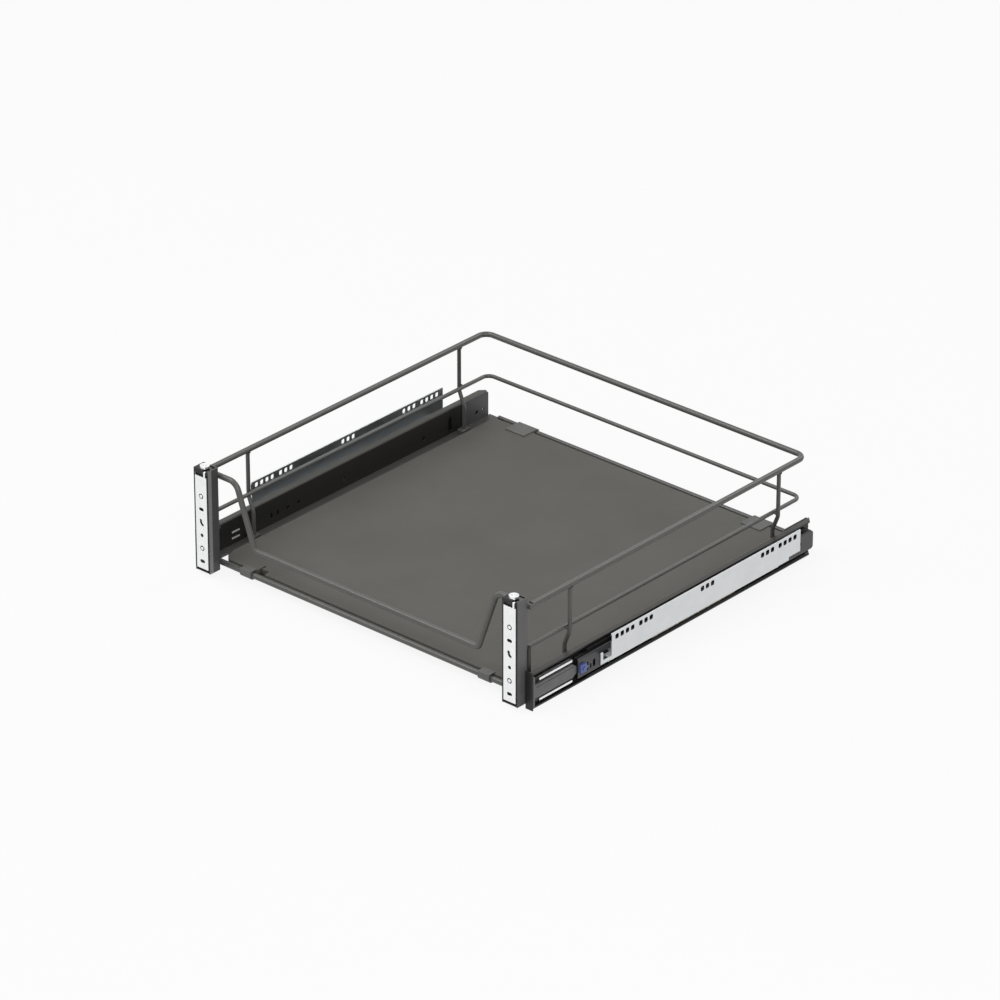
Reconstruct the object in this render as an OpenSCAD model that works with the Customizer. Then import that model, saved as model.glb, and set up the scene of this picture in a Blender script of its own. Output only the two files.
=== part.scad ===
// Telescopic pull-out drawer frame for a base cabinet, shown pushed in.
// X runs across the cabinet, Y runs into it, Z is up, all in millimetres.
// The origin is midway between the cabinet walls, at the drawer front plane
// and level with the bottom edge of the two front brackets.

/* [Cabinet] */

// Half of the clear width between the cabinet walls
half_opening = 282; // [270:0.5:300]
// Depth of the drawer rails from front end to rear end
rail_length = 503.5; // [480:0.5:560]

/* [Slide] */

// Distance from the cabinet wall to the drawer rail
slide_room = 29.5; // [24:0.5:34]
// Height of the middle of the slide above the bracket bottom
slide_level = 18.4; // [17:0.1:20]
// Height of the drawer rail from edge to edge
rail_height = 44.8; // [44:0.1:46]
// Front end of the drawer rail behind the drawer front plane
rail_front = 12.5; // [10:0.5:14]
// Sheet thickness of the drawer rail
rail_sheet = 1.2; // [1:0.1:1.3]
// Width of the drawer rail flanges
rail_depth = 8.5; // [8:0.1:9]
// Diameter of the steel balls
ball_size = 4; // [3.8:0.1:4.1]
// Number of balls in one row of a cage
balls_per_row = 8; // [4:1:10]
// Length of a ball cage
cage_length = 150; // [130:1:160]

/* [Basket] */

// Distance from the drawer rail in to the top rail wire centre
basket_inset = 2.1; // [1.5:0.1:2.5]
// Height of the top rail centre
top_rail_level = 122.2; // [110:0.5:124]
// Diameter of the top rail wire
top_rail_wire = 7; // [6:0.1:7.2]
// Distance from the rear end of the drawer rail to the rear wire of the basket
basket_short = 5; // [2:0.5:15]
// Height of the lower rail centre
lower_rail_level = 67; // [66:0.5:80]
// Diameter of the lower rail and post wire
thin_wire = 5; // [4:0.1:5.2]
// Diameter of the front rail and front rod wire
front_wire = 7.2; // [6.6:0.1:7.4]
// Height of the dipped part of the front rail
dip_level = 42; // [34:0.5:60]
// Length of the level wire between the bracket and the dip
dip_shoulder = 25.5; // [20:0.5:45]

/* [Tray] */

// Thickness of the tray board
board_thick = 7; // [5:0.5:9]
// Distance from the drawer rail to the side edge of the tray board
board_gap = 20.5; // [16:0.5:24]

/* [Front brackets] */

// Height of the bracket sheath
bracket_height = 134.4; // [126:0.2:140]
// Width of the bracket sheath
bracket_width = 23; // [22:0.1:23.2]
// Depth of the bracket sheath from front to back
bracket_depth = 17.3; // [16.5:0.1:18]
// Distance between the holes of the front plate
hole_pitch = 17.1; // [16:0.1:17.5]

/* [Hidden] */

$fn = 48;
seat = 0.02;
lap = 0.05;

// Slide cross-section, measured outward from rail_side and up from slide_level.
rail_side = half_opening - slide_room;
groove_depth = 0.4;
groove_play = 0.1;
ball_r = ball_size / 2;
groove_r = ball_r + groove_play;
inner_sheet = 1.6;
rail_inner = rail_height / 2 - rail_sheet;
outer_ball_level = rail_inner + groove_depth - groove_r;
middle_level = outer_ball_level - groove_r + groove_depth;
middle_inner = middle_level - inner_sheet;
inner_ball_level = middle_inner + groove_depth - groove_r;
cabinet_level = inner_ball_level - groove_r + groove_depth;
outer_ball_side = 5.6;
inner_ball_side = 8.2;
cage_gap = 0.35;
cage_sheet = 0.5;
cage_flange = 0.8;
cage_lip = 2;
cage_window = 5;
middle_web = rail_sheet + cage_gap + cage_sheet + cage_gap;
middle_sheet = 1.2;
inner_cage_web = middle_web + middle_sheet + cage_gap;
cabinet_tip = inner_cage_web + cage_sheet + 0.45;
cabinet_web = 11.5;
middle_round = 1.6;
rail_round = 2.2;
cabinet_round = 2;
slide_thick = cabinet_web + rail_sheet;
cabinet_face = rail_side + slide_thick;
rail_back = rail_front + rail_length;
rail_bottom = slide_level - rail_height / 2;
rail_top = slide_level + rail_height / 2;

// Lengths along the slide.
middle_front = rail_front + 94.5;
middle_back = rail_back - 16;
cabinet_front = rail_front + 75.5;
cabinet_back = rail_back - 5;
outer_cage_front = middle_front + 129;
inner_cage_front = middle_front + 113;
closer_front = rail_front + 1.3;
closer_back = cabinet_front - 0.6;
buffer_length = 6;
buffer_half = 9;
middle_hole_in = 22;

// Holes in the drawer rail web, from its front end or from its rear end.
sight_hole_line = rail_front + 31.4;
sight_hole_level = slide_level + 18.3;
sight_hole_r = 2;
louvre_line = rail_front + 56.5;
louvre_half = 6.5;
louvre_step = 4;
louvre_r = 1.3;
short_slot_lines = [rail_front + 118.5, rail_front + 129.5];
short_slot_wide = 4.2;
short_slot_tall = 7.4;
web_hole_lines = [rail_front + 147, rail_front + 166.1, rail_front + 244.9, rail_back - 116];
web_hole_r = 2.6;
long_slot_line = rail_back - 68.2;
long_slot_level = slide_level + 1.6;
long_slot_wide = 7;
long_slot_tall = 19;
end_hole_line = rail_back - 20.5;
end_hole_r = 2.7;
end_crescent_line = rail_back - 7.6;
end_crescent_level = slide_level + 1.8;
end_crescent_r = 2.8;
end_bevel = 9;
lip_size = 0.8;

// Closing unit in the front end of the drawer rail, and the blue catch behind it.
closer_face = rail_side + 11;
closer_base = rail_side + 6.8;
closer_base_half = 15.6;
closer_wall = 2.2;
closer_wall_half = 19.6;
closer_half = 8.4;
closer_nose = 6;
closer_tip = 4;
strip_in = 11;
strip_level = 13;
strip_half = 1.5;
strip_deep = 1;
ridge_level = 4.4;
ridge_wide = 1.6;
ridge_deep = 0.9;
end_plate_side = 10.6;
end_plate_low = 0.8;
end_plate_high = 2.6;
catch_line = cabinet_front + 7;
catch_pin_r = 1.5;
catch_head_r = 2.4;
catch_inner = cabinet_face + 0.3;
catch_outer = catch_inner + 3.3;
catch_r = 5;
catch_nose = 5.5;
catch_wide = 4.6;
catch_arm = 3.2;
catch_reach = 7;

// Cabinet plate.
plate_sheet = 1.5;
plate_face = half_opening;
plate_top = 54.2;
plate_low = 22;
plate_front = cabinet_front + 39;
plate_back = cabinet_back - 45;
plate_step = 21;
tab_length = 18.7;
tab_height = 14.3;
tab_arm = 3.9;
window_level = 48.2;
window_pitch = 9.1;
window_wide = 6;
window_tall = 6.4;
window_round = 1.8;
plate_middle = (plate_front + plate_back) / 2;
window_starts = [plate_front + 9, plate_front + 50.7, plate_middle - 9.5,
    plate_back - 70, plate_back - 37.7];
window_counts = [4, 3, 3, 3, 4];
plate_leg_low = slide_level - 10.4;
rivet_places = [plate_front + 13, plate_middle - 6.5, plate_back - 36];
rivet_level = slide_level - 5;
rivet_r = 2.5;
rivet_head_r = 4;
rivet_head_high = 1.4;
rivet_tail_r = 3.6;
rivet_tail_high = 0.8;
rail_slot_lines = [cabinet_front + 16.7, cabinet_front + 22.3, cabinet_front + 28];
rail_slot_levels = [slide_level - 2.1, slide_level - 4.1, slide_level - 2.3];
rail_slot_widths = [2.8, 2.4, 4];
rail_slot_heights = [11, 6.4, 9.9];
rail_hole_line = cabinet_back - 24;
rail_hole_r = 2.4;
rail_end_bevel = 5;

// Side angle and board.
angle_sheet = 1.2;
angle_front = rail_front + 20.5;
angle_back = rail_back + 5;
flange_top = 6.7;
flange_edge = rail_side - 26.5;
angle_leg_low = rail_bottom + 0.6;
angle_tab_front = rail_back - 46;
angle_tab_back = rail_back + 1;
angle_tab_bevel = 4;
angle_notch = 15.5;
angle_rivet_level = (angle_leg_low + flange_top - angle_sheet) / 2;
angle_rivet_lines = [rail_front + 60, rail_front + 180, rail_back - 190, rail_back - 70];
angle_rivet_r = 1.6;
angle_head_r = 2.8;
angle_head_high = 0.9;
board_screw_lines = [rail_front + 107.5, (rail_front + rail_back) / 2, rail_back - 100];
board_screw_r = 2.2;
board_screw_in = 4;
board_bottom = flange_top;
board_top = board_bottom + board_thick;
board_half = rail_side - board_gap;

// Wires and brackets.
bracket_outer = rail_side - 1.5;
bracket_inner = bracket_outer - bracket_width;
bracket_middle = bracket_outer - bracket_width / 2;
sheath_sheet = 1.5;
sheath_front = 0.5;
sheath_window_low = bracket_height - 9.4;
sheath_window_high = bracket_height - 2;
front_wire_r = front_wire / 2;
top_wire_r = top_rail_wire / 2;
thin_r = thin_wire / 2;
front_line = bracket_depth + front_wire_r;
front_rod_level = 8.8;
board_front = front_line + front_wire_r + 0.1;
board_back = rail_back - 9.5;
rear_rod_r = 3;
rear_rod_line = rail_back;
rear_rod_level = flange_top + rear_rod_r;
rear_rod_half = flange_edge + 7;
basket_side = rail_side - basket_inset;
basket_back = rail_back - basket_short;
lower_side = basket_side - thin_wire;
dip_slope = 0.353;
dip_corner = bracket_inner - dip_shoulder;
dip_half = dip_corner - dip_slope * (top_rail_level - dip_level);
top_rail_bend = 12;
lower_rail_bend = 10;
front_rail_bends = [0, 14, 5.5, 5.5, 14, 0];
front_rail_proud = 1.2;
post_bend = 14;
post_lines = [rail_front + 78, rail_back - 53.5];
post_foot_side = rail_side - 9.7;
post_bend_high = 62;
post_bend_low = 43;
foot_height = 5.5;
foot_half_wide = 4.6;
foot_half_long = 7;
clip_side = board_half - 46;
front_clip_width = 17;
rear_clip_width = 30;
clip_sheet = 1.8;
clip_lip = 1.2;
front_clip_reach = 8;
front_clip_hold = 9;
board_notch_gap = 0.6;
board_notch_wide = 14;
board_notch_long = 8;
board_slit = [2.4, 17];
board_notch_floor = 1.6;
rear_clip_reach = 15;
rear_clip_hold = 12;
board_cut = [10.5, 3.7, 6.8, 20.4, 4];
ear_wide = 4;
ear_long = 4.4;
ear_low = 14;
ear_top = 72;
ear_bevel = 4;

// Front plate and height adjuster.
front_sheet = 2;
front_plate_half = bracket_width / 2 - 2.5;
front_plate_low = 4.2;
front_plate_high = bracket_height - 9;
first_hole = 14;
ring_hole_r = 3.4;
pin_r = 2.1;
pin_head_r = 4.2;
pin_head_high = 0.6;
screw_slot_wide = 7.5;
screw_slot_tall = 4.2;
small_hole_r = 2.3;
hook_slot_r = 1.8;
hook_slot_points = [[-1.4, 2.4], [-1.2, 0.8], [-0.7, -0.8], [0.2, -2], [1.4, -2.8]];
tongue_low = 4.4;
tongue_wide = 2.6;
tongue_short = 1.6;
lug_level = first_hole + 4.5 * hole_pitch;
lug_half = 5.4;
lug_thick = 5;
lug_travel = 2;
adjuster_line = bracket_depth / 2 - 0.65;
adjuster_aside = 0.5;
adjuster_r = 3;
adjuster_tail = 22;
insert_front = front_sheet + 1;
insert_low = 0.3;
insert_top = bracket_height - 0.2;
insert_play = 0.1;
insert_shoulder = bracket_height - 10.4;
insert_lip_high = 5;
insert_lip_deep = 2.4;
insert_lip_wide = [13.4, 2.4];
insert_foot_high = 1.6;
insert_block_back = 12;
back_hole_levels = [30, 95];
back_hole_r = 3;
screw_head_r = 5.9;
screw_head_high = 3;
screw_cross = [6, 1.2, 3.4];

charcoal = [0.27, 0.27, 0.27];
wire_grey = [0.33, 0.33, 0.32];
black = [0.07, 0.07, 0.07];
bronze = [0.16, 0.155, 0.14];
zinc = [0.86, 0.87, 0.88];
silver = [0.78, 0.80, 0.80];
steel = [0.70, 0.71, 0.72];
plastic_grey = [0.36, 0.36, 0.39];
plastic_blue = [0.22, 0.30, 0.62];
board_grey = [0.37, 0.37, 0.35];

// Helpers

module left_side() {
    mirror([1, 0, 0]) children();
}

// A flat outline drawn across (x) and up (y), drawn out along the slide.
module along(front, back) {
    translate([0, back, 0]) rotate([90, 0, 0]) linear_extrude(height = back - front) children();
}

// A block between two corners.
module block(low, high) {
    translate(low) cube(high - low);
}

// A round bar along X, Y or Z.
module bar_x(low, high, y, z, r) {
    translate([low, y, z]) rotate([0, 90, 0]) cylinder(h = high - low, r = r);
}

module bar_y(x, low, high, z, r) {
    translate([x, high, z]) rotate([90, 0, 0]) cylinder(h = high - low, r = r);
}

module bar_z(x, y, low, high, r) {
    translate([x, y, low]) cylinder(h = high - low, r = r);
}

// Outline of a channel whose web is on the left, open to the right.
module channel_outline(width, half, sheet, round_r) {
    difference() {
        union() {
            translate([round_r, -half]) square([width - round_r, 2 * half]);
            translate([0, -half + round_r]) square([2 * round_r, 2 * (half - round_r)]);
            for (s = [-1, 1]) translate([round_r, s * (half - round_r)]) circle(r = round_r);
        }
        translate([sheet, -half + sheet]) square([width, 2 * (half - sheet)]);
    }
}

// Straight grooves for the balls, above and below the middle of the slide.
module ball_grooves(side, level, front, back) {
    for (s = [-1, 1]) bar_y(side, front, back, s * level, groove_r);
}

module at_slide() {
    translate([rail_side, 0, slide_level]) children();
}

// A slot through a plate that stands across X, long in Z.
module upright_slot(x_low, x_high, y, z, width, tall) {
    for (s = [-1, 1]) bar_x(x_low, x_high, y, z + s * (tall - width) / 2, width / 2);
    block([x_low, y - width / 2, z - (tall - width) / 2], [x_high, y + width / 2, z + (tall - width) / 2]);
}

// A window with rounded corners through a plate that stands across X.
module upright_window(x_low, x_high, y, z, wide, tall, r) {
    for (a = [-1, 1], b = [-1, 1]) bar_x(x_low, x_high, y + a * (wide / 2 - r), z + b * (tall / 2 - r), r);
    block([x_low, y - wide / 2, z - tall / 2 + r], [x_high, y + wide / 2, z + tall / 2 - r]);
    block([x_low, y - wide / 2 + r, z - tall / 2], [x_high, y + wide / 2 - r, z + tall / 2]);
}

// A slot through the front plate, long in X.
module level_slot(x, z, wide, tall, y_low, y_high) {
    for (s = [-1, 1]) bar_y(x + s * (wide - tall) / 2, y_low, y_high, z, tall / 2);
    block([x - (wide - tall) / 2, y_low, z - tall / 2], [x + (wide - tall) / 2, y_high, z + tall / 2]);
}

// Wire bent in the XY plane through a list of corners, with one bend radius
// for all of them or a list of radii.
function turn_at(p, i) = let(a = p[i] - p[i - 1], b = p[i + 1] - p[i])
    atan2(a[0] * b[1] - a[1] * b[0], a[0] * b[0] + a[1] * b[1]);
function bend_at(bend, i) = is_list(bend) ? bend[i] : bend;
function cut_at(p, i, bend) = (i == 0 || i == len(p) - 1) ? 0
    : bend_at(bend, i) * tan(abs(turn_at(p, i)) / 2);

// The straights run a hair into the bends, which are a hair thinner.
function reach_at(p, i) = (i == 0 || i == len(p) - 1) ? 0 : lap;

module wire_run(p, i, bend, r) {
    run = p[i + 1] - p[i];
    way = run / norm(run);
    start = p[i] + way * (cut_at(p, i, bend) - reach_at(p, i));
    end = p[i + 1] - way * (cut_at(p, i + 1, bend) - reach_at(p, i + 1));
    length = norm(end - start);
    translate([start[0], start[1], 0]) rotate([0, 0, atan2(way[1], way[0])])
        rotate([0, 90, 0]) cylinder(h = length, r = r);
}

module wire_bend(p, i, bend, r) {
    run = p[i] - p[i - 1];
    way = run / norm(run);
    turn = turn_at(p, i);
    side = turn > 0 ? 1 : -1;
    start = p[i] - way * cut_at(p, i, bend);
    around = bend_at(bend, i);
    centre = start + around * side * [-way[1], way[0]];
    first = atan2(start[1] - centre[1], start[0] - centre[0]);
    translate([centre[0], centre[1], 0]) rotate([0, 0, side > 0 ? first : first + turn])
        rotate_extrude(angle = abs(turn)) translate([around, 0]) circle(r = r - lap / 2);
}

module bent_wire(p, bend, r) {
    for (i = [0 : len(p) - 2]) wire_run(p, i, bend, r);
    for (i = [1 : len(p) - 2]) wire_bend(p, i, bend, r);
}

// Stands a wire drawn in the XY plane upright in the XZ plane.
module upright(y) {
    translate([0, y, 0]) rotate([90, 0, 0]) children();
}

// Cabinet side of the slide

module right_cabinet_plate() {
    color(silver) difference() {
        union() {
            block([plate_face - plate_sheet, plate_front, plate_low], [plate_face, plate_back, plate_top]);
            block([plate_face - plate_sheet, plate_front - tab_length, plate_low],
                [plate_face, plate_front + 1, plate_low + tab_height]);
            block([cabinet_face, plate_front, plate_low],
                [plate_face - plate_sheet, plate_back - plate_step, plate_low + plate_sheet]);
            block([cabinet_face, plate_front, plate_leg_low],
                [cabinet_face + plate_sheet, plate_back - plate_step, plate_low + plate_sheet]);
        }
        for (g = [0 : len(window_starts) - 1])
            for (k = [0 : window_counts[g] - 1])
                upright_window(plate_face - 3, plate_face + 1, window_starts[g] + k * window_pitch,
                    window_level, window_wide, window_tall, window_round);
        block([plate_face - 3, plate_front - tab_length + tab_arm, plate_low + tab_arm],
            [plate_face + 1, plate_front, plate_top]);
        block([plate_face - 3, plate_back - plate_step, plate_low - 1],
            [plate_face + 1, plate_back + 1, plate_low + 4]);
        for (y = rivet_places) bar_x(cabinet_face - 1, cabinet_face + 3, y, rivet_level, rivet_r);
    }
}

module right_plate_rivets() {
    color(steel) for (y = rivet_places) {
        bar_x(cabinet_face - inner_sheet, cabinet_face + plate_sheet, y, rivet_level, rivet_r);
        bar_x(cabinet_face + plate_sheet, cabinet_face + plate_sheet + rivet_head_high,
            y, rivet_level, rivet_head_r);
        bar_x(cabinet_face - inner_sheet - rivet_tail_high, cabinet_face - inner_sheet,
            y, rivet_level, rivet_tail_r);
    }
}

module cabinet_outline() {
    mirror([1, 0]) channel_outline(slide_thick - cabinet_tip, cabinet_level, inner_sheet, cabinet_round);
}

module right_cabinet_rail() {
    color(charcoal) difference() {
        at_slide() translate([slide_thick, 0, 0]) along(cabinet_front, cabinet_back) cabinet_outline();
        at_slide() ball_grooves(inner_ball_side, inner_ball_level, cabinet_front - 1, cabinet_back + 1);
        for (y = rivet_places) bar_x(cabinet_face - 3, cabinet_face + 1, y, rivet_level, rivet_r);
        for (k = [0 : 2]) upright_slot(cabinet_face - 3, cabinet_face + 1, rail_slot_lines[k],
            rail_slot_levels[k], rail_slot_widths[k], rail_slot_heights[k]);
        bar_x(cabinet_face - 3, cabinet_face + 1, rail_hole_line, slide_level + 1.5, rail_hole_r);
        bar_x(cabinet_face - 3, cabinet_face + 1, catch_line, slide_level, catch_pin_r);
        for (s = [-1, 1]) translate([0, cabinet_back, slide_level + s * cabinet_level])
            rotate([45, 0, 0]) cube([2 * plate_face, rail_end_bevel, rail_end_bevel], center = true);
    }
}

// Cages and balls

module cage_outline(web, flange_end, level) {
    half = level + cage_flange / 2;
    translate([web, -half]) square([cage_sheet, 2 * half]);
    for (s = [-1, 1]) translate([web, s * level - cage_flange / 2]) square([flange_end - web, cage_flange]);
}

module cage_solid(web, flange_end, side, level, front) {
    pitch = cage_length / balls_per_row;
    at_slide() difference() {
        along(front, front + cage_length) cage_outline(web, flange_end, level);
        for (k = [0 : balls_per_row - 1])
            bar_z(side, front + (k + 0.5) * pitch, -rail_height, rail_height, ball_r + seat);
        for (k = [1 : balls_per_row - 1])
            upright_slot(web - 1, web + 1, front + k * pitch, 0, cage_window, level);
    }
}

module ball_rows(side, level, front) {
    pitch = cage_length / balls_per_row;
    at_slide() for (k = [0 : balls_per_row - 1], s = [-1, 1])
        translate([side, front + (k + 0.5) * pitch, s * level]) sphere(r = ball_r);
}

module right_inner_cage() {
    color(bronze) cage_solid(inner_cage_web, inner_ball_side + cage_lip, inner_ball_side,
        inner_ball_level, inner_cage_front);
}

module right_inner_balls() {
    color(steel) ball_rows(inner_ball_side, inner_ball_level, inner_cage_front);
}

module right_outer_cage() {
    color(bronze) cage_solid(rail_sheet + cage_gap, outer_ball_side + cage_lip, outer_ball_side,
        outer_ball_level, outer_cage_front);
}

module right_outer_balls() {
    color(steel) ball_rows(outer_ball_side, outer_ball_level, outer_cage_front);
}

// Middle rail between the two others

module right_middle_rail() {
    color(bronze) at_slide() difference() {
        translate([middle_web, 0, 0]) along(middle_front, middle_back)
            channel_outline(inner_ball_side + groove_r + 0.1 - middle_web, middle_level,
                middle_sheet, middle_round);
        translate([middle_web + middle_sheet, middle_front - 1, -middle_inner])
            cube([20, middle_back - middle_front + 2, 2 * middle_inner]);
        ball_grooves(outer_ball_side, outer_ball_level, middle_front - 1, middle_back + 1);
        ball_grooves(inner_ball_side, inner_ball_level, middle_front - 1, middle_back + 1);
        for (y = [middle_front + middle_hole_in, middle_back - middle_hole_in])
            bar_x(middle_web - 1, middle_web + 2, y, 0, 3);
    }
}

module right_middle_buffers() {
    color(black) at_slide() for (y = [middle_front, middle_back - buffer_length])
        block([middle_web + middle_sheet, y, -buffer_half],
            [cabinet_tip - 0.3, y + buffer_length, buffer_half]);
}

// Drawer rail with its holes, pressed ribs and cut rear end

module rail_lips() {
    for (s = [-1, 1]) translate([rail_depth - lip_size, s > 0 ? rail_inner - lip_size : -rail_inner])
        square([lip_size, lip_size]);
}

module web_hole(y, z, r) {
    bar_x(rail_side - 2, rail_side + 3, y, z, r);
}

module web_slot(y, z, wide, tall) {
    upright_slot(rail_side - 2, rail_side + 3, y, z, wide, tall);
}

// The holes at the rear end go through the drawer rail and the side angle.
module end_holes() {
    web_hole(end_hole_line, slide_level, end_hole_r);
    translate([rail_side - 2, end_crescent_line, end_crescent_level]) rotate([90, 0, 90])
        linear_extrude(height = 5) difference() {
            circle(r = end_crescent_r);
            translate([0, end_crescent_r / 2]) circle(r = end_crescent_r);
        }
}

module right_drawer_rail() {
    color(bronze) difference() {
        at_slide() union() {
            along(rail_front, rail_back)
                channel_outline(rail_depth, rail_height / 2, rail_sheet, rail_round);
            along(rail_front, rail_back) rail_lips();
            block([0, rail_front, -rail_height / 2 - end_plate_low],
                [end_plate_side, rail_front + rail_sheet, rail_height / 2 + end_plate_high]);
            for (s = [-1, 1]) bar_y(0, louvre_line - louvre_half, louvre_line + louvre_half,
                s * louvre_step, louvre_r);
        }
        at_slide() ball_grooves(outer_ball_side, outer_ball_level, cabinet_front, rail_back + 1);
        web_hole(sight_hole_line, sight_hole_level, sight_hole_r);
        for (y = short_slot_lines) web_slot(y, slide_level, short_slot_wide, short_slot_tall);
        web_slot(long_slot_line, long_slot_level, long_slot_wide, long_slot_tall);
        for (y = web_hole_lines) web_hole(y, slide_level, web_hole_r);
        end_holes();
        for (y = angle_rivet_lines) web_hole(y, angle_rivet_level, angle_rivet_r);
        translate([rail_side + rail_depth, rail_back, slide_level]) rotate([0, 0, 45])
            cube([end_bevel, end_bevel, 2 * rail_height], center = true);
    }
}

module right_side_angle() {
    inner = rail_side - angle_sheet;
    outer = rail_side - seat;
    notch_edge = flange_edge + angle_notch;
    color(charcoal) difference() {
        union() {
            block([flange_edge, angle_front, flange_top - angle_sheet], [outer, angle_back, flange_top]);
            block([inner, angle_front, angle_leg_low], [outer, angle_tab_back, flange_top]);
            block([inner, angle_tab_front, angle_leg_low], [outer, angle_tab_back, rail_top]);
        }
        for (y = [angle_tab_front, angle_tab_back]) translate([inner, y, rail_top]) rotate([45, 0, 0])
            cube([4 * angle_sheet, angle_tab_bevel, angle_tab_bevel], center = true);
        for (y = angle_rivet_lines) web_hole(y, angle_rivet_level, angle_rivet_r);
        end_holes();
        translate([0, 0, angle_leg_low - 1]) linear_extrude(height = rail_height) polygon([
            [flange_edge - 1, angle_front - 1], [notch_edge, angle_front - 1],
            [notch_edge, angle_front + 12], [flange_edge, angle_front + 26],
            [flange_edge - 1, angle_front + 26]]);
        for (y = board_screw_lines) bar_z(flange_edge + board_screw_in, y,
            flange_top - 2 * angle_sheet, flange_top + 1, board_screw_r);
    }
}

module right_angle_rivets() {
    inner = rail_side - angle_sheet;
    color(black) for (y = angle_rivet_lines) {
        bar_x(inner, rail_side + rail_sheet, y, angle_rivet_level, angle_rivet_r);
        bar_x(inner - angle_head_high, inner, y, angle_rivet_level, angle_head_r);
    }
}

module right_bracket_ear() {
    back = bracket_depth + ear_long;
    color(charcoal) difference() {
        block([rail_side - ear_wide, bracket_depth, ear_low], [rail_side, back, ear_top]);
        translate([rail_side, bracket_depth, ear_top]) rotate([45, 0, 0])
            cube([3 * ear_wide, ear_bevel, ear_bevel], center = true);
    }
}

// Closing unit in the front end of the drawer rail

// The raised body has a nose at its rear end and stands on a flat base.
module closer_body() {
    inner = rail_side + rail_sheet;
    translate([inner, 0, 0]) rotate([90, 0, 90]) linear_extrude(height = closer_face - inner) polygon([
        [closer_front, slide_level - closer_half], [closer_back - closer_nose, slide_level - closer_half],
        [closer_back, slide_level - closer_tip], [closer_back, slide_level + closer_tip],
        [closer_back - closer_nose, slide_level + closer_half], [closer_front, slide_level + closer_half]]);
    block([inner, closer_front, slide_level - closer_base_half],
        [closer_base, closer_back - closer_nose, slide_level + closer_base_half]);
    block([inner, closer_front, slide_level - closer_wall_half],
        [closer_face, closer_front + closer_wall, slide_level + closer_wall_half]);
}

module strip_room(level_sign, high) {
    block([closer_base - strip_deep, closer_front + strip_in,
        slide_level + level_sign * strip_level - strip_half],
        [high, closer_back - closer_nose, slide_level + level_sign * strip_level + strip_half]);
}

module right_closer_housing() {
    color(plastic_grey) difference() {
        closer_body();
        for (s = [-1, 1]) strip_room(s, closer_face + 1);
        block([closer_face - ridge_deep, closer_front + closer_wall + 2, slide_level + ridge_level],
            [closer_face + 1, closer_back - closer_nose + 2, slide_level + ridge_level + ridge_wide]);
    }
}

module right_closer_strips() {
    color(zinc) for (s = [-1, 1]) strip_room(s, closer_face - strip_deep);
}

module right_catch_pin() {
    back = cabinet_face - inner_sheet;
    color(steel) {
        bar_x(back, catch_outer + 0.3, catch_line, slide_level, catch_pin_r);
        bar_x(back - rivet_tail_high, back, catch_line, slide_level, catch_head_r);
        bar_x(catch_outer + 0.3, catch_outer + 1, catch_line, slide_level, catch_head_r);
    }
}

module right_catch() {
    color(plastic_blue) difference() {
        union() {
            bar_x(catch_inner, catch_outer, catch_line, slide_level, catch_r);
            block([catch_inner, catch_line - catch_nose, slide_level - catch_r],
                [catch_outer, catch_line + catch_wide, slide_level + catch_r]);
            block([catch_inner, catch_line, slide_level - catch_arm / 2],
                [catch_outer, catch_line + catch_reach, slide_level + catch_arm / 2]);
        }
        bar_x(cabinet_face - 1, catch_outer + 1, catch_line, slide_level, catch_pin_r + 0.04);
        translate([catch_outer, catch_line - catch_nose + 2, slide_level]) cube([2, 2.2, 1], center = true);
    }
}

// Front bracket

module right_bracket_sheath() {
    color(charcoal) difference() {
        block([bracket_inner, sheath_front, 0], [bracket_outer, bracket_depth, bracket_height]);
        block([bracket_inner + sheath_sheet, -1, -1],
            [bracket_outer - sheath_sheet, bracket_depth - sheath_sheet, bracket_height + 1]);
        block([bracket_inner + sheath_sheet, bracket_depth - 2 * sheath_sheet, sheath_window_low],
            [bracket_outer - sheath_sheet, bracket_depth + 1, sheath_window_high]);
        for (z = back_hole_levels)
            bar_y(bracket_middle, bracket_depth - 3, bracket_depth + 1, z, back_hole_r);
    }
}

module right_bracket_insert() {
    low = bracket_inner + sheath_sheet + insert_play;
    high = bracket_outer - sheath_sheet - insert_play;
    back = bracket_depth - sheath_sheet - insert_play;
    lug_room = lug_thick / 2 + lug_travel + 0.6;
    lip_low = insert_top - insert_lip_high;
    lip_front = insert_front - insert_lip_deep;
    color(black) difference() {
        union() {
            block([low, insert_front, insert_low], [high, back, insert_shoulder]);
            block([low, lip_front, insert_low], [high, insert_front, insert_low + insert_foot_high]);
            block([low, insert_front, insert_low + 1],
                [low + insert_lip_wide[0], insert_block_back, insert_top]);
            block([low, lip_front, lip_low], [low + insert_lip_wide[0], insert_front, insert_top]);
            block([high - insert_lip_wide[1], lip_front, lip_low], [high, insert_front + 2, insert_top]);
            block([high - insert_lip_wide[1], insert_front, insert_low + 1],
                [high, insert_front + 2, insert_top]);
        }
        bar_z(bracket_middle - adjuster_aside, adjuster_line, lug_level - adjuster_tail - lug_travel,
            insert_top + 1, adjuster_r + 0.3);
        block([bracket_middle - lug_half - 0.6, insert_front - 1, lug_level - lug_room],
            [bracket_middle + lug_half + 0.6, back - 1, lug_level + lug_room]);
    }
}

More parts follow.
